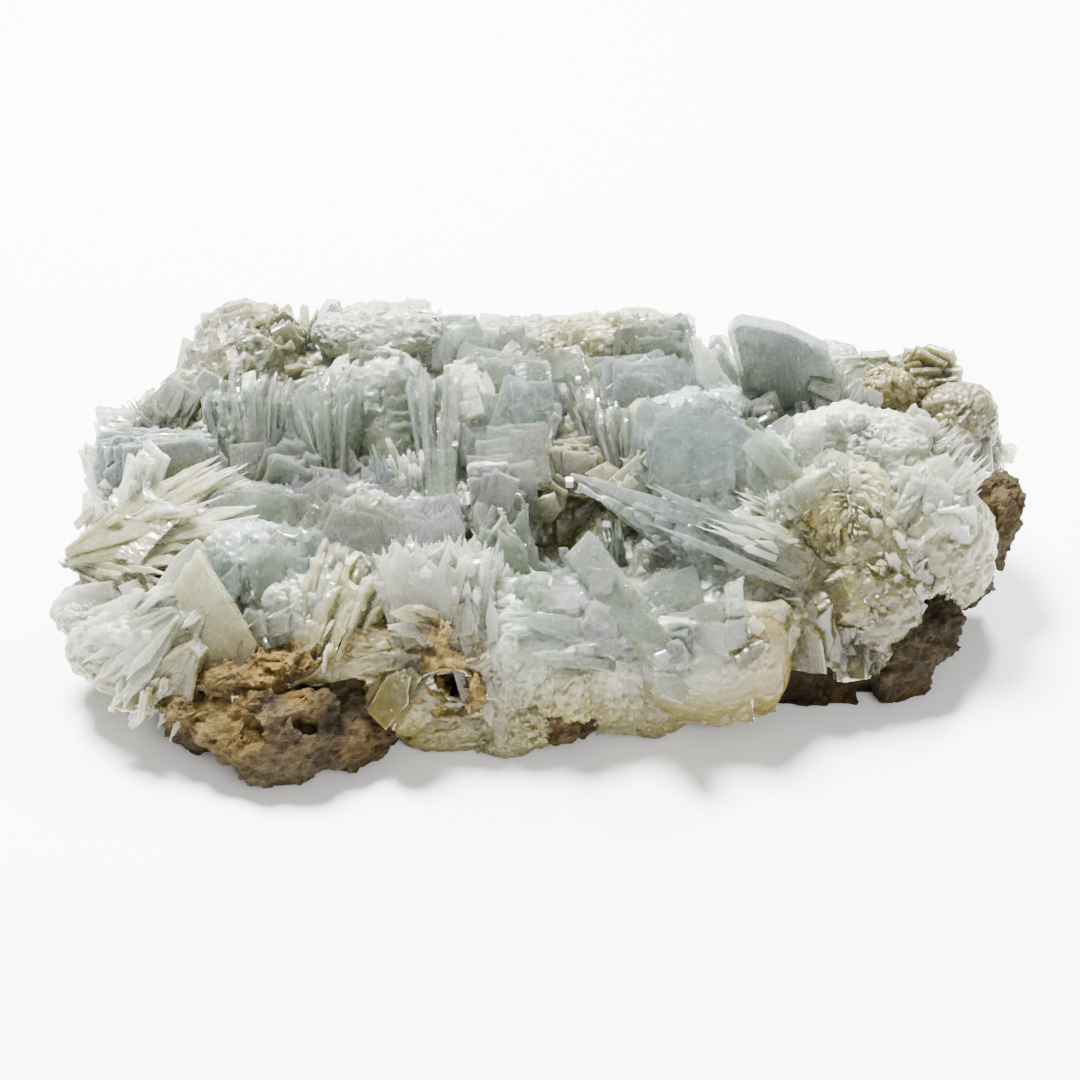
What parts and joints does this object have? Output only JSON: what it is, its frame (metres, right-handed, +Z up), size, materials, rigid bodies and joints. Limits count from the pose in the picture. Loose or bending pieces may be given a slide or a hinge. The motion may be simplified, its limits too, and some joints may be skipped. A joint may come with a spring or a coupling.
{
  "type": "barite crystal specimen",
  "caption": "Crust of tabular barite crystals in fans, cockscombs and spears, grown over a brown rock matrix that is cut flat to rest on.",
  "frame": {"origin": "middle of the specimen in plan, on the flat cut base of the matrix", "axes": "+X along the specimen's length to the right, +Y away from the front, +Z up from the base"},
  "size_m": [0.1936, 0.0972, 0.0598],
  "materials": {
    "rock": "dull, rough, iron-stained",
    "barite": "translucent, glassy to pearly, pale grey to cream"
  },
  "bodies": {
    "root": {"matrix": "rock", "barite_crystals": "barite"}
  },
  "joints": []
}
